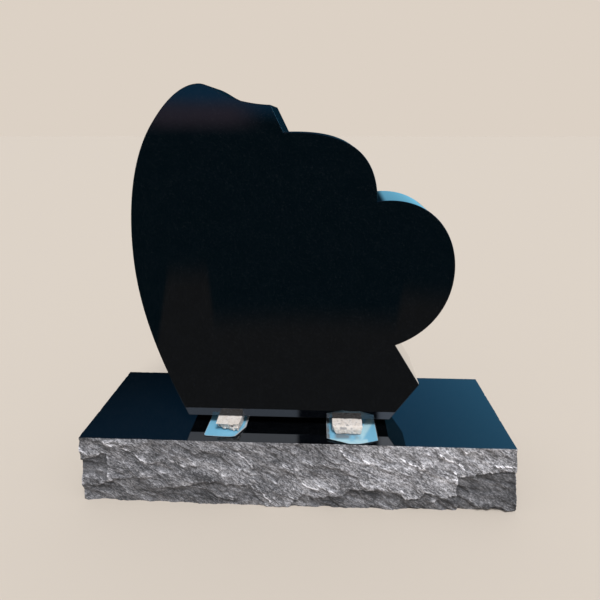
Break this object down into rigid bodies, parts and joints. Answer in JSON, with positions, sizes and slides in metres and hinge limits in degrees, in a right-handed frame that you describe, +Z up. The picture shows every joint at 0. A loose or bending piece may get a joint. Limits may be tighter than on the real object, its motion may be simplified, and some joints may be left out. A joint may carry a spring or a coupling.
{
  "type": "headstone",
  "caption": "Polished dark granite headstone: a lobed, heart-like tablet stands on packing blocks and film sheets over a base with a polished top and rock-pitched sides.",
  "frame": {"origin": "centre of the headstone's footprint, on the ground under the base", "axes": "+X along the base, to the right of someone who faces the tablet; +Y through the tablet, away from them; +Z up"},
  "size_m": [0.946, 0.337, 0.8474],
  "materials": {
    "base_granite": "matte",
    "polished_granite": "polished",
    "packing_stone": "matte",
    "blue_film": "satin"
  },
  "bodies": {
    "root": {"base": "base_granite", "tablet": "polished_granite", "left_packing_block": "packing_stone", "right_packing_block": "packing_stone", "left_film_sheet": "blue_film", "right_film_sheet": "blue_film"}
  },
  "joints": []
}
